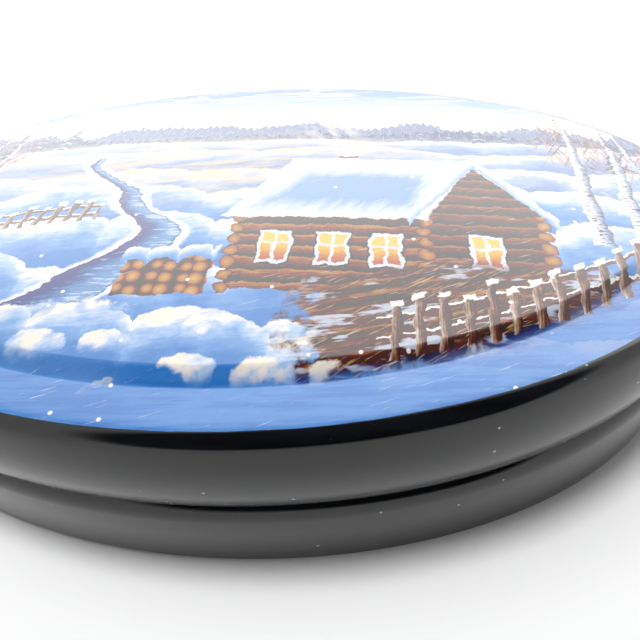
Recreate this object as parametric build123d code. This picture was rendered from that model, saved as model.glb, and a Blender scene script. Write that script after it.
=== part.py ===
from build123d import *
import math
import os

# Oval papier-mache trinket box with a lift-off lid. Millimetres, +Z up, the long
# axis along X. The origin is on the table, under the middle of the box.
# An inset is a distance inward from the widest line of the lid.

# Plan of the oval, over the widest line of the lid
box_length = 120.0
box_width = 80.0

# Heights
base_height = 11.0  # table to the seam between base and lid
lid_wall_height = 8.1  # seam to the land that carries the lid panel
rim_height = 2.25  # land to the outer edge of the flat band
band_rise = 0.2  # how much the flat band climbs on its way in
step_height = 1.2  # band to the edge of the raised middle
dome_rise = 2.5  # swell of the raised middle

# Base hoop, wound card
base_wall_thickness = 2.8  # measured from the widest line of the lid
base_belly_inset = 0.15
base_foot_inset = 0.35  # where the belly meets the rounded lower edge
base_edge_radius = 0.45
base_lip_width = 0.45  # flat lip that shows round the floor board
base_shoulder_inset = 0.28  # where the belly meets the rounded shoulder
base_shoulder_width = 1.62
base_shoulder_drop = 2.6

# Floor board, let into a rebate of the base hoop
floor_thickness = 2.0

# Inner collar that the lid slides over
collar_thickness = 1.5
collar_reach = 5.5  # how far it stands above the seam
collar_lead_in = 0.5
glue_line = 0.05
lid_fit_clearance = 0.3

# Lid hoop, wound card
lid_foot_inset = 0.6
lid_top_inset = 0.45
lid_edge_radius = 0.3

# Lid panel, pressed card
rim_round_width = 2.6  # plan width of the rounded rim
crease_inset = 6.7  # foot of the step up to the raised middle
crease_radius = 0.7
step_width = 1.5
step_edge_radius = 0.8
panel_thickness = 2.2  # at the crown
underside_inset = 5.0  # edge of the hollow under the panel

# Painted ground with the picture on it
picture_inset = 2.0
picture_thickness = 0.25

# Fullness of the curves
belly_middle_share = 0.5  # the hoops are widest half way up
rim_pull_share = 0.75  # how square the rounded rim is
shoulder_pull_share = 0.62  # how far the shoulder follows the belly's line

# Cuts run this far past what they cut
overrun = 1.0

half_length = box_length / 2
half_width = box_width / 2
land_height = base_height + lid_wall_height
band_edge_height = land_height + rim_height
crease_height = band_edge_height + band_rise
step_top_height = crease_height + step_height
crown_height = step_top_height + dome_rise
base_sole_inset = base_foot_inset + base_edge_radius
rebate_inset = base_sole_inset + base_lip_width
collar_outer_inset = base_wall_thickness + glue_line
collar_inner_inset = collar_outer_inset + collar_thickness
lid_inner_inset = collar_outer_inset - lid_fit_clearance
rim_inner_inset = lid_top_inset + rim_round_width
step_top_inset = crease_inset + step_width


def at(inset, height):
    """A point of a cross-section, taken at the +X end of the oval."""
    return (half_length - inset, height)


def oval_line():
    """The widest line of the lid, which every hoop is swept round."""
    return Wire([Edge.make_ellipse(half_length, half_width)])


def hoop(outline):
    """Sweeps a closed cross-section round the oval."""
    return sweep(Plane.XZ * make_face(outline), path=oval_line())


def oval_board(inset, low, high):
    """A flat board with the oval's outline, smaller by the inset all round."""
    outline = Plane.XY.offset(low) * Ellipse(half_length - inset, half_width - inset)
    return extrude(outline, high - low)


def dome(inset, edge_height, rise, low):
    """Everything from low up to a shallow dome that passes through the oval with
    this inset at edge_height and climbs by rise to its crown."""
    long_side = half_length - inset
    short_side = half_width - inset
    crown = edge_height + rise
    ball_radius = (long_side**2 + rise**2) / (2 * rise)
    reach = (half_width + overrun) * long_side / short_side
    reach_height = crown - ball_radius + math.sqrt(ball_radius**2 - reach**2)
    with BuildLine() as outline:
        Polyline((0, crown), (0, low), (reach, low), (reach, reach_height))
        ThreePointArc((reach, reach_height), (long_side, edge_height), (0, crown))
    turned = revolve(Plane.XZ * make_face(outline.line), Axis.Z)
    return scale(turned, by=(1, short_side / long_side, 1))


def belly(foot, middle_inset, top):
    """The slightly swelling outer side of a hoop, from foot to top."""
    middle_height = foot[1] + (top[1] - foot[1]) * belly_middle_share
    return ThreePointArc(foot, at(middle_inset, middle_height), top)


def lid_belly():
    foot = at(lid_foot_inset, base_height + lid_edge_radius)
    return belly(foot, 0, at(lid_top_inset, land_height))


def make_base_wall():
    foot = at(base_foot_inset, base_edge_radius)
    sole = at(base_sole_inset, 0)
    shoulder = at(base_shoulder_inset, base_height - base_shoulder_drop)
    top = at(base_shoulder_inset + base_shoulder_width, base_height)
    with BuildLine() as outline:
        side = belly(foot, base_belly_inset, shoulder)
        leave_belly = (side % 1) * (base_shoulder_drop * shoulder_pull_share)
        Bezier(shoulder, (shoulder[0] + leave_belly.X, shoulder[1] + leave_belly.Y), top)
        Polyline(
            top,
            at(base_wall_thickness, base_height),
            at(base_wall_thickness, floor_thickness),
            at(rebate_inset, floor_thickness),
            at(rebate_inset, 0),
            sole,
        )
        Spline(sole, foot, tangents=[(1, 0), side % 0])
    return hoop(outline.line)


def make_base_floor():
    return oval_board(rebate_inset + glue_line, 0, floor_thickness - glue_line)


def make_inner_collar():
    high = base_height + collar_reach
    with BuildLine() as outline:
        FilletPolyline(
            at(collar_inner_inset, floor_thickness),
            at(collar_outer_inset, floor_thickness),
            at(collar_outer_inset, high),
            at(collar_inner_inset, high),
            close=True,
            radius=[0, 0, collar_lead_in, collar_lead_in],
        )
    return hoop(outline.line)


def make_lid_wall():
    foot = at(lid_foot_inset, base_height + lid_edge_radius)
    sole = at(lid_foot_inset + lid_edge_radius, base_height)
    with BuildLine() as outline:
        side = lid_belly()
        Polyline(
            side @ 1,
            at(lid_inner_inset, land_height),
            at(lid_inner_inset, base_height),
            sole,
        )
        Spline(sole, foot, tangents=[(1, 0), side % 0])
    return hoop(outline.line)


def rim_moulding():
    """What a cutter takes off all round the lid: the rounded rim, the flat band
    and the step up to the raised middle."""
    rim_foot = at(lid_top_inset, land_height)
    rim_inner = at(rim_inner_inset, band_edge_height)
    crease = at(crease_inset, crease_height)
    high = crown_height + overrun
    slope_reach = step_width * (high - crease_height) / step_height
    slope_end = at(crease_inset + slope_reach, high)
    leave_belly = (lid_belly() % 1) * (rim_height * rim_pull_share)
    along_band = Vector(*crease) - Vector(*rim_inner)
    meet_band = along_band.normalized() * (rim_round_width * rim_pull_share)
    with BuildLine() as outline:
        Bezier(
            rim_foot,
            (rim_foot[0] + leave_belly.X, rim_foot[1] + leave_belly.Y),
            (rim_inner[0] - meet_band.X, rim_inner[1] - meet_band.Y),
            rim_inner,
        )
        FilletPolyline(rim_inner, crease, slope_end, radius=crease_radius)
        Polyline(
            slope_end,
            at(-overrun, high),
            at(-overrun, land_height - overrun),
            at(lid_top_inset, land_height - overrun),
            rim_foot,
        )
    return hoop(outline.line)


def make_lid_blank():
    """The lid panel with its painted ground still part of it."""
    over_all = oval_board(0, land_height, crown_height + overrun)
    swell = dome(step_top_inset, step_top_height, dome_rise, land_height)
    blank = oval_board(0, land_height, crease_height) + (swell & over_all)
    blank -= rim_moulding()
    low = crease_height + step_height / 2
    high = step_top_height + dome_rise / 2
    step_edge = blank.edges().filter_by(lambda edge: low < edge.bounding_box().min.Z)
    step_edge = step_edge.filter_by(lambda edge: edge.bounding_box().max.Z < high)
    return fillet(step_edge, min(step_edge_radius, step_width, step_height))


def make_picture(blank):
    """A thin ground that lies flush in the panel, out to the black border."""
    window = oval_board(picture_inset, land_height, crown_height + overrun)
    return (blank & window) - Pos(Z=-picture_thickness) * blank


def make_lid_panel(blank, picture):
    hollow_rise = crown_height - panel_thickness - land_height
    hollow = dome(underside_inset, land_height, hollow_rise, -overrun)
    return blank - picture - hollow


blank = make_lid_blank()
picture = make_picture(blank)

parts = {
    "base_wall": make_base_wall(),
    "base_floor": make_base_floor(),
    "inner_collar": make_inner_collar(),
    "lid_wall": make_lid_wall(),
    "lid_panel": make_lid_panel(blank, picture),
    "picture_ground": picture,
}

os.makedirs("parts", exist_ok=True)
for name, solid in parts.items():
    export_step(solid, f"parts/{name}.step")
    print(name, len(solid.solids()), "solid,", round(solid.volume), "mm3")
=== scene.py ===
import math
import bmesh
import bpy
import numpy as np
from mathutils import Matrix, Vector


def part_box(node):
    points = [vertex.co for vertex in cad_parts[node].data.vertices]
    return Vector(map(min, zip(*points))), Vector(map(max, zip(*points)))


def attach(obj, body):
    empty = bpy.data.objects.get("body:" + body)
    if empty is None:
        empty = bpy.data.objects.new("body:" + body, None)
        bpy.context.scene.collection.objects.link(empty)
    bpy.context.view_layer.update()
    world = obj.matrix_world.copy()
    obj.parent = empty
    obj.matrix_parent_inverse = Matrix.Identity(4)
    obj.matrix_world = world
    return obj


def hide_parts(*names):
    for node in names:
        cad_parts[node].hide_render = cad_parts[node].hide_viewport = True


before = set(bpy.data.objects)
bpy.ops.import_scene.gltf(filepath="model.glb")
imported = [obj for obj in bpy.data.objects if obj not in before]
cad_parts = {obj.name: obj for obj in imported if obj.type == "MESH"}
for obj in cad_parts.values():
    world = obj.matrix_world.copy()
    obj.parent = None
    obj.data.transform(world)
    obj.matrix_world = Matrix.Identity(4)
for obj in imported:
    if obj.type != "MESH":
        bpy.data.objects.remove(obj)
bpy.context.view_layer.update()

mm = 0.001

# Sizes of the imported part, in millimetres
lidLow, lidHigh = (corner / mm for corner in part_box("lid_wall"))
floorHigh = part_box("base_floor")[1] / mm
collarLow, collarHigh = (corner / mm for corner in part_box("inner_collar"))
crownHeight = (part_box("picture_ground")[1] / mm).z
halfLength, halfWidth = lidHigh.x, lidHigh.y
seamHeight, landHeight = lidLow.z, lidHigh.z

print("stage 1: cross-sections and meshes")

meshing = dict(
    turns=420,  # points round the oval
    sharpAngle=math.radians(32),
    domeRings=34,
    beltInset=12.0,  # rings run parallel to the edge as far in as this
    beltSpacing=0.3,  # mm from ring to ring there
    bendSpacing=0.06,  # the same where the lid's surface bends
    bendReach=0.42,  # how far the close rings go on to either side of a bend
)


# A cross-section is a list of (inset, height) points. An inset is a distance inward
# from the widest line of the lid.


def straight(start, end, count=1):
    share = np.linspace(0, 1, count + 1)[:, None]
    return np.array(start) * (1 - share) + np.array(end) * share


def arcThrough(foot, middle, top, count):
    # its points are closer together near the ends, so that the shading meets the next piece's
    a, b, c = (complex(*point) for point in (foot, middle, top))
    w = (c - a) / (b - a)
    hub = a + (b - a) * (w - abs(w) ** 2) / (2j * w.imag)
    start, end = np.angle(a - hub), np.angle(c - hub)
    if abs(end - start) > math.pi:
        end += math.copysign(2 * math.pi, start - end)
    arc = hub + abs(a - hub) * np.exp(1j * (start + (end - start) * eased(count)))
    return np.stack([arc.real, arc.imag], 1)


def bent(points, count):
    # a Bezier curve through its first and last point
    share = eased(count)[:, None]
    rows = [np.outer(np.ones(count + 1), point) for point in points]
    while len(rows) > 1:
        rows = [a * (1 - share) + b * share for a, b in zip(rows, rows[1:])]
    return rows[0]


def direction(curve, end=-1):
    step = curve[-1] - curve[-2] if end == -1 else curve[1] - curve[0]
    return step / np.linalg.norm(step)


def turnAngles():
    return np.linspace(0, 2 * math.pi, meshing["turns"], endpoint=False)


def ovalRing(inset, height):
    turn = turnAngles()
    outX, outY = halfWidth * np.cos(turn), halfLength * np.sin(turn)
    size = np.hypot(outX, outY)
    x = halfLength * np.cos(turn) - inset * outX / size
    y = halfWidth * np.sin(turn) - inset * outY / size
    return np.stack([x, y, np.full_like(x, height)], 1)


def boardRing(inset, height):
    turn = turnAngles()
    x, y = (halfLength - inset) * np.cos(turn), (halfWidth - inset) * np.sin(turn)
    return np.stack([x, y, np.full_like(x, height)], 1)


def ovalRings(section):
    return [ovalRing(inset, height) for inset, height in section]


def centre(height):
    return np.array([[0.0, 0.0, height]])


def eased(count):
    # from 0 to 1, closer together near both ends
    return (1 - np.cos(np.linspace(0, math.pi, count + 1))) / 2


def makeObject(name, data):
    item = bpy.data.objects.new(name, data)
    bpy.context.scene.collection.objects.link(item)
    return item


def loft(name, stretches, closed=False):
    # stretches are (rings, material number); a ring of one point closes an end
    rings, numbers = [], []
    for stretch, number in stretches:
        for ring in stretch:
            same = rings and rings[-1].shape == ring.shape
            if not (same and np.allclose(rings[-1], ring, atol=1e-6)):
                rings.append(ring)
                numbers.append(number)
    if closed and np.allclose(rings[0], rings[-1], atol=1e-6):
        rings.pop()
    starts = np.cumsum([0] + [len(ring) for ring in rings])
    spans = list(range(1, len(rings))) + ([0] if closed else [])
    faces, faceNumbers = [], []
    count = meshing["turns"]
    for k in spans:
        a, b = starts[k - 1 if k else len(rings) - 1], starts[k]
        lenA, lenB = len(rings[k - 1]), len(rings[k])
        for i in range(count):
            j = (i + 1) % count
            if lenA == 1:
                faces.append((a, b + j, b + i))
            elif lenB == 1:
                faces.append((a + i, a + j, b))
            else:
                faces.append((a + i, a + j, b + j, b + i))
        faceNumbers += [numbers[k]] * count
    mesh = bpy.data.meshes.new(name)
    mesh.from_pydata((np.concatenate(rings) * mm).tolist(), [], faces)
    mesh.polygons.foreach_set("material_index", faceNumbers)
    work = bmesh.new()
    work.from_mesh(mesh)
    bmesh.ops.recalc_face_normals(work, faces=work.faces)
    for face in work.faces:
        face.smooth = True
    for line in work.edges:
        line.smooth = line.calc_face_angle(0) < meshing["sharpAngle"]
    work.to_mesh(mesh)
    work.free()
    return makeObject(name, mesh), rings


def place(piece, body, node, slot, finishes):
    for finish in finishes:
        piece.data.materials.append(finish)
    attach(piece, body)
    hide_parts(node)


print("stage 2: finishes")


def tint(red, green, blue):
    # a colour as it is seen on a screen, 0 to 255
    return tuple(
        (v / 255 / 12.92) if v < 10.3 else ((v / 255 + 0.055) / 1.055) ** 2.4
        for v in (red, green, blue)
    )


def table(names, *rows):
    # a dictionary for each row
    return [dict(zip(names.split(), row)) for row in rows]


def shades(*stops):
    # colours along a scale, each as its place, red, green and blue
    return [(place, tint(*colour)) for place, *colour in stops]


def sign(operation, swapped=False):
    # what a plus, a minus or the like does with two wires
    def join(wire, other):
        pair = (other, wire) if swapped else (wire, other)
        return wire.finish.maths(operation, *pair)

    return join


class Wire:
    # a socket that takes part in sums
    __add__ = __radd__ = sign("ADD")
    __mul__ = __rmul__ = sign("MULTIPLY")
    __sub__, __rsub__ = sign("SUBTRACT"), sign("SUBTRACT", swapped=True)
    __truediv__, __rtruediv__ = sign("DIVIDE"), sign("DIVIDE", swapped=True)
    __pow__ = sign("POWER")

    def __init__(self, finish, socket):
        self.finish, self.socket = finish, socket

    def __abs__(self):
        return self.finish.maths("ABSOLUTE", self)


class Finish:
    # one material, or the world, and the nodes that make it
    noiseSettings = {"noise_dimensions": "3D"}

    def __init__(self, name, kind="materials"):
        self.material = getattr(bpy.data, kind).new(name)
        self.material.use_nodes = True
        self.tree = self.material.node_tree
        self.tree.nodes.clear()

    def node(self, kind, settings=None, sockets=None):
        node = self.tree.nodes.new(kind if kind.startswith("Node") else "ShaderNode" + kind)
        for name, value in (settings or {}).items():
            if name == "stops":
                self.setStops(node.color_ramp, value)
            else:
                setattr(node, name, value)
        for name, value in (sockets or {}).items():
            socket = node.inputs[name]
            if isinstance(value, Wire):
                self.tree.links.new(value.socket, socket)
            elif socket.type == "RGBA" and len(value) == 3:
                socket.default_value = (*value, 1.0)
            else:
                socket.default_value = value
        return node

    def setStops(self, scale, stops):
        while len(scale.elements) < len(stops):
            scale.elements.new(1.0)
        for element, (position, colour) in zip(scale.elements, stops):
            element.position = position
            element.color = (*colour, 1.0)

    def get(self, kind, settings=None, sockets=None, output=0):
        return Wire(self, self.node(kind, settings, sockets).outputs[output])

    def maths(self, operation, *values):
        settings = {"operation": operation}
        return self.get("Math", settings, dict(enumerate(values)))

    def smaller(self, a, b):
        return self.maths("MINIMUM", a, b)

    def larger(self, a, b):
        return self.maths("MAXIMUM", a, b)

    def part(self, value):
        return self.maths("FRACT", value)

    def edge(self, value, low, high):
        # 0 at low and 1 at high, with a soft step between
        settings = {"interpolation_type": "SMOOTHSTEP", "clamp": False}
        return self.get("MapRange", settings, {0: value, 1: low, 2: high})

    def lay(self, under, over, mask):
        # one coat of paint over another
        settings = {"data_type": "RGBA"}
        return self.get("Mix", settings, {0: mask, 6: under, 7: over}, 2)

    def scaled(self, vector, factor):
        settings = {"operation": "SCALE"}
        return self.get("VectorMath", settings, {0: vector, "Scale": factor})

    def blend(self, kind, under, over):
        settings = {"data_type": "RGBA", "blend_type": kind, "clamp_result": True}
        return self.get("Mix", settings, {0: 1.0, 6: under, 7: over}, 2)

    def noise(self, vector, scale, detail=2.0, roughness=0.5):
        sockets = {"Vector": vector, "Scale": scale}
        sockets |= {"Detail": detail, "Roughness": roughness}
        return self.get("TexNoise", self.noiseSettings, sockets)

    def mapped(self, vector, kind="POINT", **sockets):
        return self.get("Mapping", {"vector_type": kind}, {"Vector": vector} | sockets)

    def streaks(self, vector, angle, along, across, seed, shift=(0.0, 0.0)):
        # brush marks of that length and width
        where = (seed * 13.7 + shift[0], seed * 29.1 + shift[1], 0.0)
        turn, size = (0.0, 0.0, math.radians(angle)), (along, across, 1.0)
        turned = self.mapped(vector, "TEXTURE", Location=where, Rotation=turn, Scale=size)
        return self.noise(turned, 1.0, 3.0, 0.62)

    def ramp(self, value, stops):
        return self.get("ValToRGB", {"stops": stops}, {0: value})

    def placeInMm(self):
        place = self.get("TexCoord", None, None, "Object")
        return self.scaled(place, 1 / mm)

    def split(self, vector):
        node = self.node("SeparateXYZ", None, {0: vector})
        return Wire(self, node.outputs[0]), Wire(self, node.outputs[1])

    def shade(self, colour, roughness, fixed, relief=None):
        # fixed values go on the shader's own sockets
        sockets = {"Base Color": colour, "Roughness": roughness} | fixed
        if relief is not None:
            height, strength, distance = relief
            bumps = {"Height": height, "Strength": strength, "Distance": distance}
            sockets["Normal"] = self.get("Bump", None, bumps)
        shader = self.get("BsdfPrincipled", None, sockets)
        self.node("OutputMaterial", None, {"Surface": shader})
        return self.material


def coat(weight, roughness, ior=1.5):
    return {"IOR": ior, "Coat IOR": ior, "Coat Weight": weight, "Coat Roughness": roughness}


blackLacquer = dict(
    colour=(0.0035, 0.0036, 0.004),
    film=(0.007, 0.008, 0.011),  # the faint bloom of handling
    speck=(0.42, 0.42, 0.40),
    scratch=(0.22, 0.22, 0.21),
    roughness=0.02,
    coatWeight=0.15,
    wornCoatWeight=0.1,
    coatRoughness=0.025,
    dust=2.0,  # mm from one speck's cell to the next
    undulation=9.0,  # mm from one soft wave of the lacquer to the next
)


def makeBlackLacquer(name, scuffed=False):
    look = blackLacquer
    finish = Finish(name)
    place = finish.placeInMm()
    # tiny specks of dust under and on the lacquer
    cells = finish.node("TexVoronoi", None, {"Vector": place, "Scale": 1 / look["dust"]})
    near = Wire(finish, cells.outputs["Distance"])
    pick = finish.split(Wire(finish, cells.outputs["Color"]))[0]
    specks = finish.edge(near - pick * 0.05, 0.05, 0.01) * finish.edge(pick, 0.62, 0.68)
    # short hairline scratches, running all ways
    fine = finish.streaks(place, 58, 5.0, 0.055, 2)
    other = finish.streaks(place, -24, 6.0, 0.05, 5)
    patches = finish.noise(place, 0.16, 2.0)
    lines = finish.larger(finish.edge(fine, 0.71, 0.78), finish.edge(other, 0.72, 0.79))
    scratches = lines * finish.edge(patches, 0.45, 0.62)
    haze = finish.noise(place, 0.09, 3.0)
    film = finish.streaks(place, 4, 14.0, 2.2, 8)
    colour = finish.lay(look["colour"], look["film"], finish.edge(film, 0.3, 0.75))
    colour = finish.lay(colour, look["scratch"], scratches * 0.5)
    colour = finish.lay(colour, look["speck"], specks * 0.9)
    roughness = look["roughness"] + haze * 0.06 + scratches * 0.2
    if scuffed:
        rubbed = finish.edge(finish.noise(place, 0.5, 4.0, 0.7), 0.52, 0.7)
        colour = finish.lay(colour, (0.03, 0.03, 0.03), rubbed * 0.6)
        roughness = roughness + rubbed * 0.25
    waves = finish.noise(place, 1 / look["undulation"], 1.0)
    weight = look["wornCoatWeight"] if scuffed else look["coatWeight"]
    relief = (waves * 0.03 + specks * 0.01, 0.3, mm)
    return finish.shade(colour, roughness, coat(weight, look["coatRoughness"]), relief)


redLacquer = dict(
    colour=tint(150, 26, 20),
    dark=tint(104, 14, 12),
    roughness=0.22,
    coatWeight=0.6,
    coatRoughness=0.12,
)


def makeRedLacquer():
    look = redLacquer
    finish = Finish("redLacquer")
    place = finish.placeInMm()
    clouds = finish.noise(place, 0.12, 3.0)
    brushed = finish.streaks(place, 12, 9.0, 0.5, 3)
    colour = finish.lay(look["dark"], look["colour"], finish.edge(clouds, 0.3, 0.62))
    colour = finish.lay(colour, look["dark"], finish.edge(brushed, 0.56, 0.8) * 0.35)
    roughness = look["roughness"] + brushed * 0.16
    varnished = coat(look["coatWeight"], look["coatRoughness"])
    relief = (brushed + clouds * 0.6, 0.25, 0.05 * mm)
    return finish.shade(colour, roughness, varnished, relief)


class Canvas(Finish):
    # a material painted coat by coat on the lid's plan, in millimetres
    noiseSettings = {"noise_dimensions": "2D"}

    def __init__(self, name):
        super().__init__(name)
        around = self.get("TexCoord", None, None, "Object")
        self.place = self.mapped(around, Scale=(1 / mm, 1 / mm, 0.0))
        # no line that is drawn by hand is quite straight
        self.x = self.ruled(0) + self.waver(0.0)
        self.y = self.ruled(90) + self.waver(31.0)
        self.colour = (0.0, 0.0, 0.0)

    def ruled(self, angle, reach=100.0):
        # the place along a line at that angle, read off a long gradient
        turn, size = (0.0, 0.0, -math.radians(angle)), (0.5 / reach, 0.5 / reach, 1.0)
        ruler = self.mapped(self.place, Location=(0.5, 0.0, 0.0), Rotation=turn, Scale=size)
        shade = self.get("TexGradient", None, {"Vector": ruler}, "Fac")
        return self.maths("MULTIPLY_ADD", shade, 2 * reach, -reach)

    def waver(self, shift):
        moved = self.mapped(self.place, Location=(shift, 0.0, 0.0))
        return self.noise(moved, 0.5, 3.0, 0.6) * 1.2 - 0.6

    def motif(self, painter, *details):
        # each motif is a group of nodes that paints over the colour so far
        group = bpy.data.node_groups.new(painter.__name__, "ShaderNodeTree")
        given = {"Place": self.place, "X": self.x, "Y": self.y, "Under": self.colour}
        for name, kind in (("Place", "Vector"), ("X", "Float"), ("Y", "Float"), ("Under", "Color")):
            group.interface.new_socket(name, in_out="INPUT", socket_type="NodeSocket" + kind)
        group.interface.new_socket("Over", in_out="OUTPUT", socket_type="NodeSocketColor")
        outside, self.tree = self.tree, group
        start = self.node("NodeGroupInput")
        self.place, self.x, self.y, self.colour = (
            Wire(self, start.outputs[name]) for name in given
        )
        painter(self, *details)
        self.node("NodeGroupOutput", None, {"Over": self.colour})
        self.tree = outside
        self.place, self.x, self.y = given["Place"], given["X"], given["Y"]
        self.colour = self.get("Group", {"node_tree": group}, given)

    def inset(self):
        # the distance inward from the widest line, kept on the mesh
        return self.get("Attribute", {"attribute_name": "inset"}, None, 2)

    def marks(self, *brush):
        return self.streaks(self.place, *brush)

    def paint(self, over, mask):
        self.colour = self.lay(self.colour, over, mask)

    def swell(self, axis, scale, seed):
        # a slow rise and fall along x or y alone
        size = (scale, 0.0, 0.0) if axis == "x" else (0.0, scale, 0.0)
        moved = self.mapped(self.place, Location=(seed * 7.3, seed * 3.1, 0.0), Scale=size)
        return self.noise(moved, 1.0, 1.0)

    def random(self, value, seed):
        swing = self.maths("SINE", self.maths("MULTIPLY_ADD", value, 12.99, seed * 7.82 + 1.3))
        return self.part(swing * 437.58)

    def repeat(self, value, pitch, seed, sway=0.0):
        # the cell number, and how far across the cell from -1 to 1
        turn = self.maths("MULTIPLY_ADD", value, 1 / pitch, seed * 3.7)
        if sway:
            turn = turn + self.swell("x", 0.55 / pitch, seed) * sway
        rest = self.part(turn)
        return turn - rest, rest * 2 - 1

    def span(self, value, low, high, ease):
        return self.edge(value, low, low + ease) * self.edge(value, high, high - ease)

    def within(self, corners):
        # how far inside a polygon, whose corners run clockwise
        depth = None
        for (ax, ay), (bx, by) in zip(corners, corners[1:] + corners[:1]):
            size = math.hypot(bx - ax, by - ay)
            right, up = (by - ay) / size, (ax - bx) / size
            upward = self.maths("MULTIPLY_ADD", self.y, up, -right * ax - up * ay)
            inside = self.maths("MULTIPLY_ADD", self.x, right, upward)
            depth = inside if depth is None else self.smaller(depth, inside)
        return depth

    def inBox(self, left, low, right, high):
        return self.within([(left, low), (left, high), (right, high), (right, low)])

    def far(self, middle, radii=(1.0, 1.0)):
        # distance from a point, as a share of an ellipse's radii
        right = self.maths("MULTIPLY_ADD", self.x, 1 / radii[0], -middle[0] / radii[0])
        up = self.maths("MULTIPLY_ADD", self.y, 1 / radii[1], -middle[1] / radii[1])
        return self.maths("SQRT", self.maths("MULTIPLY_ADD", right, right, up * up))

    def cells(self, pitch, randomness):
        # distance from the nearest middle, and a random value for each cell
        sockets = {"Vector": self.place, "Scale": 1 / pitch, "Randomness": randomness}
        node = self.node("TexVoronoi", {"voronoi_dimensions": "2D"}, sockets)
        near, colour = (Wire(self, node.outputs[name]) for name in ("Distance", "Color"))
        return near, self.get("SeparateColor", None, {0: colour})


print("stage 3: picture")

sky = dict(
    low=tint(248, 226, 196),
    pale=tint(240, 234, 222),
    blue=tint(166, 196, 234),
    deep=tint(112, 152, 208),
    cloud=tint(240, 236, 234),
    cloudShade=tint(178, 188, 214),
    sun=tint(255, 240, 204),
    sunPlace=(-24.0, 20.0),
)


def paintSky(art):
    s = sky
    height = art.edge(art.y, 10, 40)
    stops = [(0.0, s["low"]), (0.22, s["pale"]), (0.55, s["blue"]), (1.0, s["deep"])]
    art.colour = art.ramp(height, stops)
    near = art.marks(5, 13.0, 1.9, 1)
    art.paint(s["cloudShade"], art.edge(near, 0.46, 0.62) * 0.6)
    lifted = art.marks(5, 13.0, 1.9, 1, (-0.3, 0.6))
    art.paint(s["cloud"], art.edge(lifted, 0.48, 0.66) * 0.85)
    glow = art.edge(art.far(s["sunPlace"]), 16, 1)
    art.paint(s["sun"], glow * 0.75)
    art.paint(tint(255, 250, 232), art.edge(art.far(s["sunPlace"]), 2.6, 2.3) * 0.9)


forest = dict(
    foot=8.0,
    height=8.5,
    far=tint(118, 134, 172),
    mist=tint(186, 194, 214),
    near=tint(74, 88, 126),
)


def paintFarForest(art):
    f = forest
    for step, tone in enumerate((f["far"], f["near"])):
        crowns = art.swell("x", 0.09, step + 2) * f["height"] * (1 - step * 0.25)
        spikes = abs(art.repeat(art.x, 1.1 + step * 0.4, step + 1, 0.8)[1])
        tall = art.swell("x", 0.8, step + 5)
        top = crowns + (1 - spikes) * tall * 2.2 + f["foot"] + 1.2 - step * 1.4
        brush = art.marks(88, 2.2, 0.35, step + 3)
        shade = art.lay(tone, f["mist"], art.edge(brush, 0.45, 0.75) * 0.5)
        shade = art.lay(shade, f["mist"], art.edge(art.y, f["foot"] + 3, f["foot"]) * 0.8)
        art.paint(shade, art.edge(art.y - top, 0.1, -0.15))


firRows = table(
    "foot height pitch left right seed haze",
    (7.5, 10.0, 4.6, -60.0, -27.0, 4, 0.35),
    (6.0, 8.5, 3.9, 24.0, 60.0, 9, 0.45),
    (3.0, 13.0, 5.6, -60.0, -36.0, 6, 0.1),
    (1.0, 11.5, 5.2, 45.0, 60.0, 3, 0.15),
)
firTones = dict(
    needles=tint(44, 62, 78),
    lit=tint(82, 104, 120),
    snow=tint(226, 232, 244),
    haze=tint(150, 166, 204),
)


def paintFirs(art, row):
    # one fir in each cell of the row
    t = firTones
    cell, across = art.repeat(art.x, row["pitch"], row["seed"])
    tall = art.random(cell, row["seed"]) * 0.5 + 0.5
    foot = art.random(cell, row["seed"] + 1) * 1.6 + row["foot"] - 0.8
    up = (art.y - foot) / (tall * row["height"])
    tier = art.part(up * 5.5 + abs(across) * 0.9)
    reach = (1 - up) * (1.05 - tier * 0.5)
    boughs = art.edge(reach - abs(across), 0.0, 0.07) * art.edge(up, 0.0, 0.04)
    span = art.span(art.x, row["left"], row["right"], 0.1)
    brush = art.marks(80, 1.2, 0.3, row["seed"])
    tone = art.lay(t["needles"], t["lit"], art.edge(brush - across * 0.15, 0.45, 0.7))
    snow = art.edge(tier, 0.12, 0.02) + art.edge(tier, 0.72, 0.9)
    tone = art.lay(tone, t["snow"], snow * art.edge(brush, 0.3, 0.5) * 0.9)
    tone = art.lay(tone, t["haze"], row["haze"])
    art.paint(tone, boughs * span)


snowTones = dict(
    far=shades(
        (0.0, 255, 238, 208), (0.2, 240, 228, 222), (0.5, 184, 200, 228), (1.0, 134, 160, 206),
    ),
    near=shades(
        (0.0, 255, 244, 226), (0.14, 244, 240, 240), (0.32, 190, 212, 242), (0.6, 132, 174, 228),
        (1.0, 96, 144, 210),
    ),
)
# the crest's height in the plan, its rise and fall, its rounded lobes, the shading's depth
hills = table(
    "crest swell lobe width depth seed tones",
    (8.8, 2.2, 0.5, 11.0, 3.2, 1, "far"),
    (5.6, 3.2, 0.9, 13.0, 4.2, 2, "far"),
    (1.2, 4.2, 1.3, 12.0, 5.2, 3, "far"),
    (-4.6, 4.4, 1.9, 14.0, 6.4, 4, "near"),
    (-12.0, 3.8, 2.6, 12.5, 7.0, 5, "near"),
    (-19.5, 3.0, 3.0, 11.5, 6.6, 6, "near"),
    (-27.5, 2.4, 3.0, 10.5, 6.0, 7, "near"),
)


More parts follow.
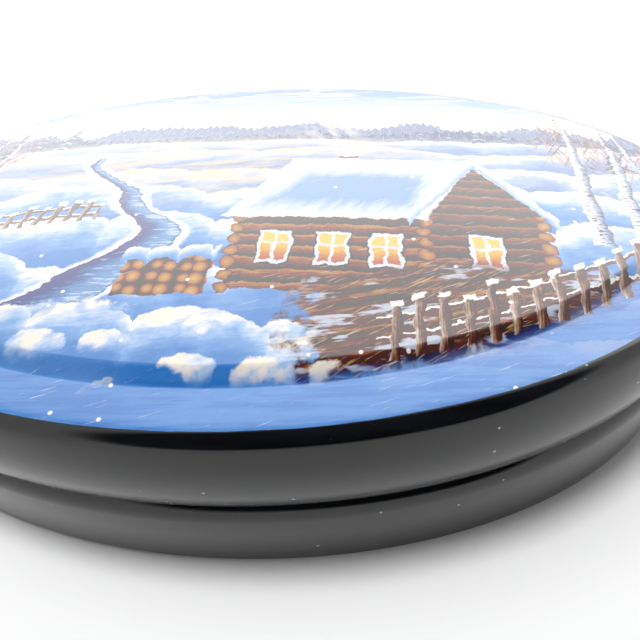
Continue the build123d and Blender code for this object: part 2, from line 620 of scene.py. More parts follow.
def paintHill(art, hill):
    seed = hill["seed"]
    cell, across = art.repeat(art.x, hill["width"], seed, 0.9)
    bulge = 1.0 - across * across
    lobe = art.maths("SQRT", bulge) * hill["lobe"]
    lobe = lobe * (art.random(cell, seed) * 0.85 + 0.15)
    swell = (art.swell("x", 0.045, seed) - 0.5) * hill["swell"] * 2
    below = swell + lobe + hill["crest"] - art.y
    brush = art.marks(8, 6.0, 0.8, seed)
    clouds = art.marks(8, 5.0, 3.4, seed + 20)
    depth = below / hill["depth"] + across * bulge * 0.3
    depth = depth + (brush - 0.5) * 0.45 + (clouds - 0.5) * 0.9
    tone = art.ramp(depth, snowTones[hill["tones"]])
    art.paint(tone, art.edge(below, -0.05, 0.22))


lowSun = dict(
    middle=(-6.0, 2.0),
    radii=(46.0, 13.0),
    warm=tint(255, 222, 160),
)


def paintGlow(art):
    # the low sun's light on the far snow
    g = lowSun
    brush = art.marks(6, 9.0, 1.6, 31)
    reach = art.edge(art.far(g["middle"], g["radii"]), 1.0, 0.1)
    art.paint(g["warm"], reach * art.edge(brush, 0.3, 0.7) * 0.6)


stream = dict(
    ice=tint(120, 158, 206),
    deep=tint(58, 92, 146),
    gleam=tint(206, 222, 242),
    bank=tint(250, 246, 238),
)


def paintStream(art):
    s = stream
    bend = art.edge(art.y, -40, -13) * 24 - art.edge(art.y, -15, 6) * 13
    middle = bend + (art.swell("y", 0.13, 3) - 0.5) * 5.0 - 31
    half = art.edge(art.y, 4, -36) * 4.6 + 0.7
    outside = abs(art.x - middle) - half
    ends = art.edge(art.y, 5.5, 4.5)
    lip = art.edge(outside, 1.5, 0.5) * ends
    art.paint(s["bank"], lip * 0.9)
    across = (art.x - middle) / half
    ripples = art.marks(3, 3.2, 0.45, 8)
    tone = art.lay(s["ice"], s["deep"], art.edge(across + ripples, 0.9, -0.2))
    tone = art.lay(tone, s["gleam"], art.edge(ripples + across * 0.12, 0.56, 0.72) * 0.85)
    tone = art.lay(tone, s["deep"], art.edge(outside, -0.5, -0.05) * 0.7)
    art.paint(tone, art.edge(outside, 0.06, -0.06) * ends)


hut = dict(
    left=3.0,
    corner=24.0,
    right=37.0,
    foot=-23.0,
    eaves=-8.6,
    ridge=1.2,
    overhang=1.8,
    log=1.9,  # mm from one log to the next
    snow=2.0,  # thickness of the snow on the gable's slopes
    windows=((3.2, 5.2), (9.6, 5.0), (15.4, 4.8), (26.0, 5.2)),
    windowSize=(2.9, 4.6),
    wood=shades(
        (0.0, 40, 24, 18), (0.22, 96, 58, 36), (0.6, 150, 98, 58), (0.85, 194, 146, 96),
        (1.0, 120, 78, 48),
    ),
    logEnd=shades((0.0, 206, 160, 104), (0.7, 170, 118, 70), (1.0, 46, 30, 34)),
    shade=tint(46, 30, 34),
    frame=tint(226, 230, 240),
    glass=tint(252, 204, 110),
    glassDark=tint(190, 110, 50),
    roof=shades(
        (0.0, 226, 228, 238), (0.12, 252, 247, 238), (0.45, 222, 230, 244), (1.0, 150, 182, 230),
    ),
    brick=tint(138, 82, 66),
    smoke=tint(238, 230, 226),
)


def logs(art, foot, seed):
    h = hut
    turn = art.part((art.y - foot) / h["log"])
    grain = art.marks(2, 5.0, 0.16, seed)
    tone = art.ramp(turn * 0.85 + (grain - 0.5) * 0.7 + 0.05, h["wood"])
    gap = art.edge(abs(turn - 0.5), 0.40, 0.49)
    return art.lay(tone, h["shade"], gap * 0.9)


def paintWindow(art, x, y):
    h = hut
    wide, high = h["windowSize"]
    depth = art.inBox(x, y, x + wide, y + high)
    art.paint(h["shade"], art.edge(depth, -0.65, -0.45) * 0.8)
    art.paint(h["frame"], art.edge(depth, -0.44, -0.32))
    glow = art.lay(h["glass"], h["glassDark"], art.edge(art.y, y + high * 0.7, y))
    art.paint(glow, art.edge(depth, 0.0, 0.1))
    bar = art.smaller(abs(art.x - x - wide / 2), abs(art.y - y - high * 0.6))
    art.paint(h["frame"], art.edge(bar, 0.24, 0.13) * art.edge(depth, -0.1, 0.0))


def paintChimney(art):
    h = hut
    foot = (h["left"] + (h["right"] - h["corner"]) / 2 + 5, h["ridge"])
    smoke = art.marks(118, 8.0, 2.4, 4)
    plume = art.edge(art.far((foot[0] - 3, foot[1] + 13), (6.5, 11.0)), 1.0, 0.2)
    art.paint(h["smoke"], plume * art.edge(smoke, 0.4, 0.66) * 0.8)
    bricks = art.inBox(foot[0] - 1.3, foot[1] - 1, foot[0] + 1.3, foot[1] + 3.4)
    art.paint(h["brick"], art.edge(bricks, -0.05, 0.08))
    cap = art.far((foot[0], foot[1] + 3.4 + 0.3), (1.9, 0.95))
    art.paint(h["roof"][1][1], art.edge(cap, 1.05, 0.9))


def paintWalls(art):
    h = hut
    left, corner, right = h["left"], h["corner"], h["right"]
    foot, eaves, peak = h["foot"], h["eaves"], (h["corner"] + h["right"]) / 2
    side = [(left, foot + 1), (left, eaves + 1), (corner, eaves + 1), (corner, foot)]
    art.paint(logs(art, foot, 2), art.edge(art.within(side), -0.05, 0.08))
    gable = [(corner, foot), (corner, eaves), (peak, h["ridge"]), (right, eaves), (right, foot)]
    darker = art.lay(logs(art, foot + 0.7, 6), h["shade"], 0.28)
    art.paint(darker, art.edge(art.within(gable), -0.05, 0.08))
    for x, up in h["windows"]:
        paintWindow(art, left + x, foot + up)
    # round log ends at the corners
    row = art.part((art.y - foot) / h["log"]) - 0.5
    for x in (left, corner, right):
        off = art.maths("SQRT", ((art.x - x) / h["log"]) ** 2.0 + row * row)
        ends = art.ramp(off * 2, h["logEnd"])
        wall = art.span(art.y, foot, eaves, 0.1)
        art.paint(ends, art.edge(off, 0.5, 0.42) * wall)
    # the shadow under the eaves
    shade = art.span(art.x, left - 0.5, corner, 0.3)
    shade = shade * art.edge(art.y, eaves - 3.4, eaves - 0.8)
    art.paint(h["shade"], shade * art.edge(art.y, eaves + 1.5, eaves) * 0.75)


def paintRoof(art):
    # deep snow, with a thick edge along the gable
    h = hut
    left, corner, over = h["left"], h["corner"], h["overhang"]
    half = (h["right"] - corner) / 2
    end, low, high, thick = corner + half, h["eaves"] - 1.4, h["ridge"] + 1.8, h["snow"]
    roof = [(left - over, low), (left + half - over, high), (end, high), (corner, low)]
    depth = art.within(roof)
    brush = art.marks(62, 7.0, 0.9, 7)
    sunk = (depth - (art.y - low) * 0.25) / 3.6 + (brush - 0.5) * 0.8 + 0.3
    art.paint(art.ramp(sunk, h["roof"]), art.edge(depth, -0.5, -0.15))
    for x in (corner - over, h["right"] + over):
        start = low - thick * 0.5
        slope = (high - 0.9 - start) / (end - x)
        below = art.maths("MULTIPLY_ADD", art.x, slope, start - x * slope) - art.y
        strip = art.span(below, -thick, thick * 0.35, 0.3)
        between = art.span(art.x, min(x, end) - 0.2, max(x, end) + 0.15, 0.25)
        tone = art.ramp((below + thick) / thick / 1.3, h["roof"][1:])
        art.paint(tone, strip * between)


birches = table(
    "x foot height width lean seed",
    (43.0, -13.5, 36.0, 2.1, 0.04, 1),
    (47.6, -11.0, 31.0, 1.7, 0.08, 2),
    (52.5, -7.0, 26.0, 1.4, -0.03, 3),
    (-36.0, -16.0, 34.0, 2.0, -0.04, 4),
    (-42.0, -12.0, 30.0, 1.6, 0.06, 5),
)
birchTones = dict(
    bark=shades(
        (0.0, 250, 246, 238), (0.45, 226, 226, 232), (0.8, 150, 160, 192), (1.0, 96, 104, 140),
    ),
    mark=tint(44, 36, 42),
    twig=tint(112, 70, 62),
    twigPale=tint(196, 158, 142),
)
# the middle and radii of each crown of twigs
crowns = table(
    "middle radii",
    ((44.0, 10.0), (7.5, 10.0)),
    ((51.0, 7.0), (7.0, 9.0)),
    ((-39.0, 9.0), (9.5, 11.5)),
)


def paintCrown(art, crown):
    t = birchTones
    area = art.edge(art.far(crown["middle"], crown["radii"]), 1.0, 0.35)
    for number, angle in enumerate((64, 108, 88)):
        twigs = art.marks(angle, 6.5, 0.4, number + crown["radii"][0])
        tone = t["twigPale"] if number == 2 else t["twig"]
        art.paint(tone, art.edge(twigs, 0.56, 0.64) * area * 0.85)


def paintBirch(art, birch):
    t = birchTones
    up = art.y - birch["foot"]
    bend = (art.swell("y", 0.08, birch["seed"]) - 0.5) * 1.6
    middle = up * birch["lean"] + bend + birch["x"]
    half = (1.15 - up / birch["height"]) * birch["width"] / 2
    off = (art.x - middle) / half
    trunk = art.edge(abs(off), 1.0, 0.85) * art.span(up, 0, birch["height"], 0.4)
    marks = art.marks(4, 1.0, 0.28, birch["seed"])
    tone = art.ramp(off * 0.5 + 0.5, t["bark"])
    tone = art.lay(tone, t["mark"], art.edge(marks + off * 0.04, 0.58, 0.63))
    art.paint(tone, trunk)


woodpile = dict(
    corners=[(-8.5, -23.4), (-8.3, -17.6), (1.4, -17.0), (1.4, -23.0)],
    log=1.75,
    face=shades((0.0, 214, 170, 112), (0.45, 186, 134, 82), (0.7, 126, 82, 50), (1.0, 44, 28, 24)),
)


def paintWoodpile(art):
    w = woodpile
    depth = art.within(w["corners"])
    near, pick = art.cells(w["log"], 0.35)
    rings = (art.maths("SINE", near * 34) * 0.03) + near * 1.5 + (pick - 0.5) * 0.25
    art.paint(art.ramp(rings, w["face"]), art.edge(depth, -0.1, 0.1))
    x = (art.x - w["corners"][1][0]) / (w["corners"][2][0] - w["corners"][1][0])
    lift = x * (w["corners"][2][1] - w["corners"][1][1]) + w["corners"][1][1]
    _, across = art.repeat(art.x, 3.6, 2, 0.5)
    lobe = art.maths("SQRT", 1.0 - across * across)
    below = lift + 0.6 + lobe * 1.2 - art.y
    cap = art.span(below, 0.0, 2.2, 0.15) * art.span(x, -0.1, 1.06, 0.03)
    art.paint(art.ramp(below / 2.6 + across * 0.1, snowTones["near"]), cap)


yard = dict(
    left=10.0,
    low=-34.0,
    rise=0.0064,  # the yard's edge follows the oval
    earth=tint(112, 72, 50),
    dark=tint(62, 38, 32),
    light=tint(176, 128, 88),
    straw=tint(214, 182, 132),
)


def paintYard(art):
    y = yard
    front = art.x * y["rise"] * art.x + y["low"]
    rough = art.noise(art.place, 0.35, 4.0, 0.6)
    above = art.y - front + (rough - 0.5) * 3
    area = art.span(above, 0.2, 13.0, 0.9)
    area = area * art.edge(art.x + (rough - 0.5) * 12, y["left"], y["left"] + 3)
    area = area * art.edge(art.y, -16.5, -19)
    brush = art.marks(14, 9.0, 0.8, 5)
    tone = art.lay(y["earth"], y["dark"], art.edge(brush, 0.5, 0.7))
    tone = art.lay(tone, y["light"], art.edge(brush, 0.46, 0.34) * 0.8)
    straw = art.marks(34, 4.0, 0.26, 6)
    tone = art.lay(tone, y["straw"], art.edge(straw, 0.6, 0.68) * 0.7)
    snow = art.marks(10, 7.0, 1.7, 9)
    tone = art.lay(tone, tint(214, 224, 242), art.edge(snow, 0.56, 0.66) * 0.8)
    art.paint(tone, area)


fences = table(
    "left right low rise high pitch seed",
    (19.0, 50.0, -32.8, 0.0066, 6.4, 2.3, 2),
    (-32.0, -15.0, -10.0, -0.003, 4.2, 1.9, 5),
)
fenceTones = dict(
    wood=shades((0.0, 230, 226, 228), (0.3, 176, 150, 132), (0.6, 116, 78, 58), (1.0, 58, 38, 36)),
    snow=tint(252, 248, 242),
)


def paintFence(art, fence):
    t = fenceTones
    foot = art.x * fence["rise"] * art.x + fence["low"]
    up = (art.y - foot) / fence["high"]
    span = art.span(art.x, fence["left"], fence["right"], 0.2)
    for share in (0.34, 0.72):
        rail = abs(up - share) * fence["high"]
        art.paint(t["wood"][2][1], art.edge(rail, 0.3, 0.2) * span)
        frost = abs(up * fence["high"] - share * fence["high"] - 0.34)
        art.paint(t["snow"], art.edge(frost, 0.17, 0.08) * span)
    cell, across = art.repeat(art.x, fence["pitch"], fence["seed"])
    lean = (art.random(cell, 4) - 0.5) * 0.5
    tall = art.random(cell, fence["seed"]) * 0.35 + 0.8
    off = abs(across - lean * up)
    point = (tall - up) * 2.6
    pale = art.edge(off, 0.5, 0.42) * art.edge(up, 0.0, 0.04)
    pale = pale * art.edge(point - off, 0.0, 0.1)
    grain = art.marks(90, 3.0, 0.2, fence["seed"])
    tone = art.ramp(across * 0.7 + grain, t["wood"])
    art.paint(tone, pale * span)
    cap = art.edge(abs(tall - up - 0.06) * fence["high"], 0.5, 0.3) * art.edge(off, 0.6, 0.45)
    art.paint(t["snow"], cap * span)


pillows = table(
    "middle radii pitch",
    ((-14.0, -28.5), (11.0, 5.5), 8.2),
    ((7.0, -30.0), (9.0, 4.0), 7.0),
    ((-47.0, -5.0), (8.0, 7.0), 7.4),
    ((52.0, -3.0), (7.0, 8.0), 6.6),
)


def paintPillows(art, patch):
    # shrubs bowed under lumps of snow, whose lower sides melt into the shade
    pitch = patch["pitch"]
    row, up = art.repeat(art.y, pitch * 0.62, pitch)
    cell, right = art.repeat(art.x + art.random(row, 3) * pitch, pitch, 2)
    name = cell + row * 13.0
    size = art.random(name, 5) * 0.35 + 0.72
    right = (right + (art.random(name, 6) - 0.5) * 0.5) / size
    up = (up + (size - 0.9) * 0.8) / size
    near = art.maths("SQRT", right * right + up * up)
    brush = art.marks(30, 2.4, 2.0, pitch)
    area = art.far(patch["middle"], patch["radii"])
    shown = art.edge(area + (size - 0.9) * 1.5 + (brush - 0.5) * 0.4, 1.0, 0.85)
    low = near * 0.35 - up * 0.4 + right * 0.12 + (brush - 0.5) * 0.9 + 0.1
    lump = art.edge(near + (brush - 0.5) * 0.25, 0.93, 0.8) * art.edge(up, -0.85, 0.1)
    art.paint(art.ramp(low, snowTones["near"]), shown * lump)


dabs = dict(
    white=tint(255, 252, 246),
    pitch=4.6,
)


def paintDabs(art):
    # little raised touches of white, and dry strokes
    near, pick = art.cells(dabs["pitch"], 1.0)
    lit = art.edge(art.y, 4, 0)
    spots = art.edge(near - pick * 0.03, 0.03, 0.012) * art.edge(pick, 0.7, 0.8)
    art.paint(dabs["white"], spots * lit * 0.9)
    flick = art.marks(24, 5.0, 0.22, 11)
    art.paint(dabs["white"], art.edge(flick, 0.69, 0.77) * lit * 0.5)


frontBand = dict(
    inset=7.2,
    blue=tint(104, 152, 216),
    deep=tint(88, 134, 204),
)


def paintFrontBand(art):
    # the band outside the raised middle is laid in with broad strokes
    f = frontBand
    brush = art.marks(4, 12.0, 0.8, 12)
    tone = art.lay(f["blue"], f["deep"], art.edge(brush, 0.4, 0.65))
    low = art.edge(art.y, 2, -16)
    outer = art.edge(art.inset(), f["inset"] + 0.8, f["inset"] - 1.2)
    art.paint(tone, outer * low * 0.85)


varnish = dict(
    depth=(0.08, 0.08, 0.08),  # the paint is this much darker than it looks through the gloss
    darkest=tint(44, 40, 38),
    roughness=0.3,  # of the paint under the varnish
    waves=0.03,
)
pictureBorder = dict(
    inset=2.1,  # mm from the widest line to the black border
    waver=0.07,  # the border is painted by hand
)


def paintGrain(art):
    grain = art.marks(20, 2.0, 0.25, 15)
    art.paint((0.0, 0.0, 0.0), art.edge(grain, 0.5, 0.8) * 0.12)


def borderMask(art):
    p = pictureBorder
    waver = (art.noise(art.place, 0.25, 3.0) - 0.5) * 2 * p["waver"]
    return art.edge(art.inset() + waver, p["inset"], p["inset"] - 0.06)


def makePainting():
    art = Canvas("paintedGround")
    coats = [
        (paintSky,), (paintFarForest,), (paintFirs, firRows[:2]), (paintHill, hills[:2]),
        (paintFirs, firRows[2:]), (paintHill, hills[2:6]), (paintGlow,), (paintStream,),
        (paintPillows, pillows[2:]), (paintFence, fences[1:]), (paintCrown, crowns),
        (paintBirch, birches), (paintWoodpile,), (paintChimney,), (paintWalls,), (paintRoof,),
        (paintHill, hills[6:]), (paintYard,), (paintPillows, pillows[:2]), (paintFrontBand,),
        (paintFence, fences[:1]), (paintDabs,), (paintGrain,),
    ]
    # a painter with a table paints once for each of its rows
    for painter, *rows in coats:
        for details in zip(*rows) if rows else [()]:
            art.motif(painter, *details)
    art.colour = art.blend("SUBTRACT", art.colour, varnish["depth"])
    art.colour = art.blend("LIGHTEN", art.colour, varnish["darkest"])
    border = borderMask(art)
    art.paint(blackLacquer["colour"], border)
    waves = art.noise(art.place, 1 / blackLacquer["undulation"], 1.0)
    roughness = varnish["roughness"] * (1 - border * 0.5)
    fixed = coat(1.0, blackLacquer["coatRoughness"]) | {"Specular IOR Level": 0.1}
    return art.shade(art.colour, roughness, fixed, (waves * varnish["waves"], 0.6, mm))


black = makeBlackLacquer("blackLacquer")
worn = makeBlackLacquer("wornUnderside", scuffed=True)
red = makeRedLacquer()
painted = makePainting()

print("stage 4: base")

baseShape = dict(
    wall=2.8,
    footInset=0.35,
    edgeRadius=0.45,
    bellyInset=0.15,
    lip=0.45,
    shoulderInset=0.28,
    shoulderWidth=1.62,
    shoulderDrop=2.6,
    shoulderPull=1.6,  # how far up the belly's line the rounding is drawn
    floorTop=collarLow.z,
    floorEdge=0.12,  # how far the board's corners are eased
)


def makeBaseWall():
    s = baseShape
    foot = (s["footInset"], s["edgeRadius"])
    sole = (s["footInset"] + s["edgeRadius"], 0)
    rebate = sole[0] + s["lip"]
    shoulder = (s["shoulderInset"], seamHeight - s["shoulderDrop"])
    top = (s["shoulderInset"] + s["shoulderWidth"], seamHeight)
    middle = (s["bellyInset"], (foot[1] + shoulder[1]) / 2)
    side = arcThrough(foot, middle, shoulder, 30)
    down, up = direction(side, 0), direction(side)
    footCorner = (foot[0] - down[0] / down[1] * foot[1], 0)
    topCorner = np.array(shoulder) + up * s["shoulderPull"]
    outside = np.concatenate(
        [bent([sole, footCorner, foot], 10), side, bent([shoulder, topCorner, top], 12)]
    )
    inside = [
        straight(top, (s["wall"], seamHeight), 2),
        straight((s["wall"], seamHeight), (s["wall"], s["floorTop"]), 3),
        straight((s["wall"], s["floorTop"]), (rebate, s["floorTop"])),
        straight((rebate, s["floorTop"]), (rebate, 0)),
        straight((rebate, 0), sole),
    ]
    stretches = [(ovalRings(section), 0) for section in (outside, *inside)]
    return loft("baseWall", stretches, closed=True)[0]


def makeBaseFloor():
    high = floorHigh.z
    rim = halfLength - floorHigh.x
    ease = baseShape["floorEdge"]
    shares = (0.25, 0.5, 0.75, 0.95)
    under, over = (
        [boardRing(halfWidth - (halfWidth - rim) * share, z) for share in shares] for z in (0, high)
    )
    side = [boardRing(rim + ease, 0), boardRing(rim, ease)]
    side += [boardRing(rim, high - ease), boardRing(rim + ease, high)]
    stretches = [([centre(0)] + under + side[:3], 0)]
    stretches += [(side[3:] + over[::-1] + [centre(high)], 1)]
    return loft("baseFloor", stretches)[0]


collarShape = dict(leadIn=0.5, thickness=1.5)


def makeInnerCollar():
    outer = halfLength - collarHigh.x
    inner = outer + collarShape["thickness"]
    low, high, leadIn = collarLow.z, collarHigh.z, collarShape["leadIn"]
    section = np.concatenate(
        [
            straight((inner, low), (outer, low)),
            straight((outer, low), (outer, high - leadIn), 6),
            bent([(outer, high - leadIn), (outer, high), (outer + leadIn, high)], 6),
            bent([(inner - leadIn, high), (inner, high), (inner, high - leadIn)], 6),
            straight((inner, high - leadIn), (inner, low), 6),
        ]
    )
    return loft("innerCollar", [(ovalRings(section), 0)], closed=True)[0]


place(makeBaseWall(), "base", "base_wall", "black_lacquer", [black])
place(makeBaseFloor(), "base", "base_floor", "black_lacquer", [worn, red])
place(makeInnerCollar(), "base", "inner_collar", "red_lacquer", [red])

print("stage 5: lid")

lidShape = dict(
    bore=2.55,
    footInset=0.6,
    edgeRadius=0.3,
    topInset=0.45,
)
panelShape = dict(
    rimWidth=2.6,
    rimHeight=2.25,
    rimPull=0.75,
    bandRise=0.2,
    creaseInset=6.7,
    creaseEase=0.17,
    stepWidth=1.5,
    stepHeight=1.2,
    stepEase=0.17,
    domeRise=2.5,
    thickness=2.2,
    hollowInset=5.0,
)
pictureShape = dict(inset=2.0, thickness=0.25)


def lidSide():
    foot = (lidShape["footInset"], seamHeight + lidShape["edgeRadius"])
    top = (lidShape["topInset"], landHeight)
    return arcThrough(foot, (0, (foot[1] + top[1]) / 2), top, 30)


def makeLidWall():
    side = lidSide()
    foot, top = side[0], side[-1]
    sole = (foot[0] + lidShape["edgeRadius"], seamHeight)
    down = direction(side, 0)
    corner = (foot[0] - down[0] / down[1] * lidShape["edgeRadius"], seamHeight)
    bore = lidShape["bore"]
    sections = [
        (np.concatenate([bent([sole, corner, foot], 8), side]), 0),
        (straight(top, (bore, landHeight), 2), 0),
        (straight((bore, landHeight), (bore, seamHeight), 4), 1),
        (straight((bore, seamHeight), sole), 0),
    ]
    stretches = [(ovalRings(section), number) for section, number in sections]
    return loft("lidWall", stretches, closed=True)[0]


def rimCurve(count=400):
    s = panelShape
    top = lidSide()[-1]
    up = direction(lidSide())
    bandEdge = np.array([top[0] + s["rimWidth"], top[1] + s["rimHeight"]])
    crease = np.array([s["creaseInset"], bandEdge[1] + s["bandRise"]])
    along = (crease - bandEdge) / np.linalg.norm(crease - bandEdge)
    points = [
        top,
        top + up * s["rimHeight"] * s["rimPull"],
        bandEdge - along * s["rimWidth"] * s["rimPull"],
        bandEdge,
    ]
    return bent(points, count)


def rimPart(startInset, endInset, count):
    # the rounded rim between two insets, from outside to inside
    curve = rimCurve()
    gone = np.concatenate([[0], np.cumsum(np.linalg.norm(np.diff(curve, axis=0), axis=1))])
    start = np.interp(startInset, curve[:, 0], gone)
    end = np.interp(endInset, curve[:, 0], gone)
    at = start + (end - start) * eased(count)
    return np.stack([np.interp(at, gone, curve[:, 0]), np.interp(at, gone, curve[:, 1])], 1)


def domeHeight(ring, inset, crown, rise):
    # over a ring's points, on a dome whose edge lies at the inset
    long, short = halfLength - inset, halfWidth - inset
    radius = (long**2 + rise**2) / (2 * rise)
    reach = ring[:, 0] ** 2 + (ring[:, 1] * long / short) ** 2
    return crown - radius + np.sqrt(radius**2 - reach)


def softMin(a, b, ease):
    near = np.maximum(ease - np.abs(a - b), 0) / ease
    return np.minimum(a, b) - near**2 * ease / 4


def surfaceRing(inset):
    # band, crease, step and raised middle, on a line parallel to the edge
    s = panelShape
    ring = ovalRing(inset, 0)
    bandEdge = lidShape["topInset"] + s["rimWidth"]
    bandHeight = landHeight + s["rimHeight"]
    creaseHeight = bandHeight + s["bandRise"]
    stepTop = s["creaseInset"] + s["stepWidth"]
    slope = s["bandRise"] / (s["creaseInset"] - bandEdge)
    band = bandHeight + (inset - bandEdge) * slope
    step = creaseHeight + (inset - s["creaseInset"]) * s["stepHeight"] / s["stepWidth"]
    low = -softMin(-band, -step, s["creaseEase"])
    swell = domeHeight(ring, stepTop, crownHeight, s["domeRise"])
    ring[:, 2] = softMin(low, swell, s["stepEase"])
    return ring


def surfaceRings(lowered=0.0):
    # from the crown out to the picture's edge, and the inset of each ring
    s, m = panelShape, meshing
    belt, reach = m["beltInset"], m["bendReach"]
    bandEdge, stepTop = lidShape["topInset"] + s["rimWidth"], s["creaseInset"] + s["stepWidth"]
    insets = list(np.arange(bandEdge, belt, m["beltSpacing"]))
    for bend in (s["creaseInset"], stepTop):
        insets = [x for x in insets if abs(x - bend) > reach + 0.03]
        insets += list(np.arange(bend - reach, bend + reach + 0.01, m["bendSpacing"]))
    rings = [(halfWidth, centre(crownHeight))]
    for share in np.linspace(0, 1, m["domeRings"])[1:-1]:
        ring = ovalRing(belt, 0) * share
        ring[:, 2] = domeHeight(ring, stepTop, crownHeight, s["domeRise"])
        rings.append((belt + (halfWidth - belt) * (1 - share), ring))
    rings += [(inset, surfaceRing(inset)) for inset in [belt] + sorted(insets)[::-1]]
    rim = rimPart(pictureShape["inset"], bandEdge, 12)[::-1][1:]
    rings += [(inset, ovalRing(inset, height)) for inset, height in rim]
    depths, rings = zip(*rings)
    return [ring - (0, 0, lowered) for ring in rings], depths


def markInset(piece, rings, depths):
    # how far in each point lies, for the hand-painted border
    values = np.concatenate([np.full(len(r), d) for r, d in zip(rings, depths)])
    attribute = piece.data.attributes.new("inset", "FLOAT", "POINT")
    attribute.data.foreach_set("value", values.astype(np.float32))


def makePicture():
    thick = pictureShape["thickness"]
    top, depths = surfaceRings()
    under, underDepths = surfaceRings(lowered=thick)
    piece, rings = loft("pictureGround", [(top, 0), (under[::-1], 1)])
    markInset(piece, rings, depths + underDepths[::-1])
    return piece


def makeLidPanel():
    s = panelShape
    pocket = surfaceRings(lowered=pictureShape["thickness"])[0]
    rim = ovalRings(rimPart(lidShape["topInset"], pictureShape["inset"], 20)[::-1])
    rise = crownHeight - s["thickness"] - landHeight
    hollow = []
    for share in np.linspace(1, 0, 30)[:-1]:
        ring = boardRing(s["hollowInset"], 0) * share
        ring[:, 2] = domeHeight(ring, s["hollowInset"], landHeight + rise, rise)
        hollow.append(ring)
    hollow.append(centre(landHeight + rise))
    glued = ovalRings(straight((lidShape["topInset"], landHeight), (lidShape["bore"], landHeight)))
    stretches = [(pocket, 0), (rim, 0), (glued, 0), (hollow, 1)]
    return loft("lidPanel", stretches)[0]


place(makeLidWall(), "lid", "lid_wall", "black_lacquer", [black, red])
place(makeLidPanel(), "lid", "lid_panel", "black_lacquer", [black, red])
place(makePicture(), "lid", "picture_ground", "painted_ground", [painted, black])

print("stage 6: camera, floor and light")

camera = dict(
    place=(20.180, -64.173, 59.489),  # mm
    lens=31.13,
    sensor=36.0,
    clip=(0.002, 20.0),  # m
    down=0.7501,  # radians below the horizon
    turn=-0.1674,
    roll=-0.0952,
)


def makeCamera():
    c = camera
    ahead = Vector((math.sin(c["turn"]), math.cos(c["turn"]), 0))
    forward = ahead * math.cos(c["down"]) - Vector((0, 0, math.sin(c["down"])))
    level = Vector((ahead.y, -ahead.x, 0))
    upright = level.cross(forward)
    right = level * math.cos(c["roll"]) + upright * math.sin(c["roll"])
    up = upright * math.cos(c["roll"]) - level * math.sin(c["roll"])
    data = bpy.data.cameras.new("camera")
    data.sensor_width = c["sensor"]
    data.lens = c["lens"]
    data.clip_start, data.clip_end = c["clip"]
    item = makeObject("camera", data)
    turned = Matrix((right, up, -forward)).transposed().to_4x4()
    item.matrix_world = Matrix.Translation(Vector(c["place"]) * mm) @ turned
    bpy.context.scene.camera = item
    return item


stageSet = dict(
    floorSize=6.0,  # m
    floorColour=(0.97, 0.97, 0.97),
    floorShade=(0.955, 0.957, 0.962),
    flag=((-75, -78), (95, 72)),  # mm from the camera
    flagFade=0.72,  # full as far out as this share of its half
    softBox=((-3600, -5200), (6400, 5200)),  # mm, on a wall behind the object
    softBoxFade=0.35,
    softBoxPlace=1200.0,
    softBoxClimb=(1080.0, 0.1),  # mm up to its full strength, and its share at the floor
    softBoxLight=4.0,
    # share of the light, degrees above the horizon, width
    suns=((0.60, 83.0, 14.0), (0.19, 68.0, 26.0)),
    sunTurn=-52.0,
    worldLight=0.27,
)


def stagePiece(name, corners, finish):
    mesh = bpy.data.meshes.new(name)
    mesh.from_pydata(corners, [], [tuple(range(len(corners)))])
    mesh.materials.append(finish)
    piece = makeObject(name, mesh)
    return piece


def cardFinish(name, corners, fade, shader, value, climb=None):
    # a card that fades out towards its edges, and towards the floor over its climb
    finish = Finish(name)
    x, y = finish.split(finish.placeInMm())
    (left, bottom), (right, top) = corners
    acrossX = abs(x - (left + right) / 2) / ((right - left) / 2)
    acrossY = abs(y - (bottom + top) / 2) / ((top - bottom) / 2)
    out = (acrossX**4.0 + acrossY**4.0) ** 0.25
    card = finish.get(shader, None, value)
    clear = finish.get("BsdfTransparent")
    shown = finish.edge(out, 1.0, fade)
    if climb:
        shown = shown * finish.smaller(y / climb[0] + climb[1], 1.0)
    sockets = {0: shown, 1: clear, 2: card}
    mixed = finish.get("MixShader", None, sockets)
    finish.node("OutputMaterial", None, {"Surface": mixed})
    return finish.material


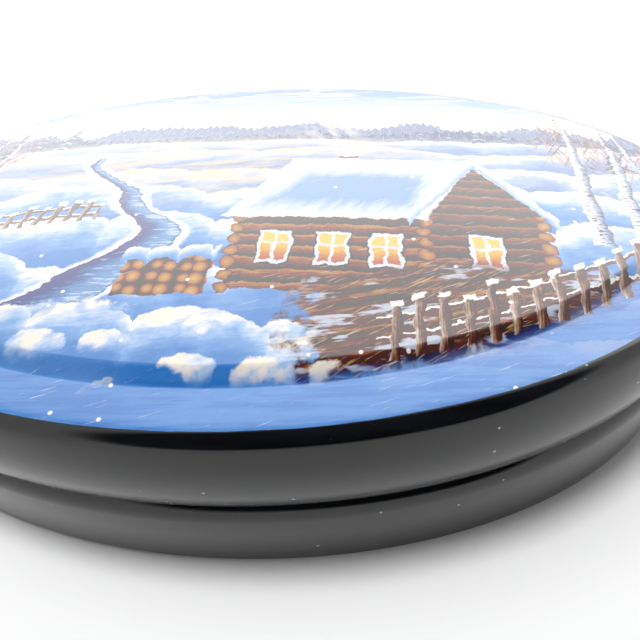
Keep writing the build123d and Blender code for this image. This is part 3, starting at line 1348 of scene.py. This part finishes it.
def makeCard(name, corners, finish, matrix):
    # seen only in the gloss
    (left, bottom), (right, top) = corners
    outline = [(left, bottom), (right, bottom), (right, top), (left, top)]
    card = stagePiece(name, [(x * mm, y * mm, 0) for x, y in outline], finish)
    card.matrix_world = matrix
    card.visible_camera = card.visible_diffuse = card.visible_shadow = False
    card.visible_transmission = card.visible_volume_scatter = False


def makeStage():
    s = stageSet
    viewer = makeCamera()
    half = s["floorSize"] / 2
    floor = Finish("paleFloor")
    grain = floor.noise(floor.placeInMm(), 0.02, 2.0)
    colour = floor.lay(s["floorColour"], s["floorShade"], grain)
    paleFloor = floor.shade(colour, 0.9, {"Specular IOR Level": 0.0})
    corners = [(-half, -half, 0), (half, -half, 0), (half, half, 0), (-half, half, 0)]
    stagePiece("floor", corners, paleFloor)

    shade = {"Color": (0, 0, 0)}
    dark = cardFinish("blackFlag", s["flag"], s["flagFade"], "BsdfDiffuse", shade)
    makeCard("cameraFlag", s["flag"], dark, viewer.matrix_world.copy())
    light = {"Strength": s["softBoxLight"]}
    look = (s["softBoxFade"], "Emission", light, s["softBoxClimb"])
    bright = cardFinish("softBoxLight", s["softBox"], *look)
    behind = Matrix.Translation((0, s["softBoxPlace"] * mm, 0))
    upright = Matrix.Rotation(math.pi / 2, 4, "X")
    makeCard("softBox", s["softBox"], bright, behind @ upright)

    for number, (share, height, width) in enumerate(s["suns"], 1):
        name = f"softKey{number}"
        sun = bpy.data.lights.new(name, "SUN")
        rise, turn = math.radians(height), math.radians(s["sunTurn"])
        sun.energy = share * math.pi / math.sin(rise)
        sun.angle = math.radians(width)
        key = makeObject(name, sun)
        away = math.cos(rise)
        fromWhere = Vector((math.sin(turn) * away, math.cos(turn) * away, math.sin(rise)))
        key.rotation_euler = fromWhere.to_track_quat("Z", "Y").to_euler()
        key.visible_glossy = False

    room = Finish("paleRoom", "worlds")
    path = room.node("LightPath")
    strength = s["worldLight"]
    for output in ("Is Camera Ray", "Is Glossy Ray", "Is Transmission Ray"):
        strength = room.larger(Wire(room, path.outputs[output]), strength)
    paint = {"Color": (1, 1, 1), "Strength": strength}
    back = room.get("Background", None, paint)
    room.node("OutputWorld", None, {"Surface": back})
    bpy.context.scene.world = room.material


makeStage()
bpy.context.scene.view_settings.view_transform = "Standard"

print("stage 7: scene built")
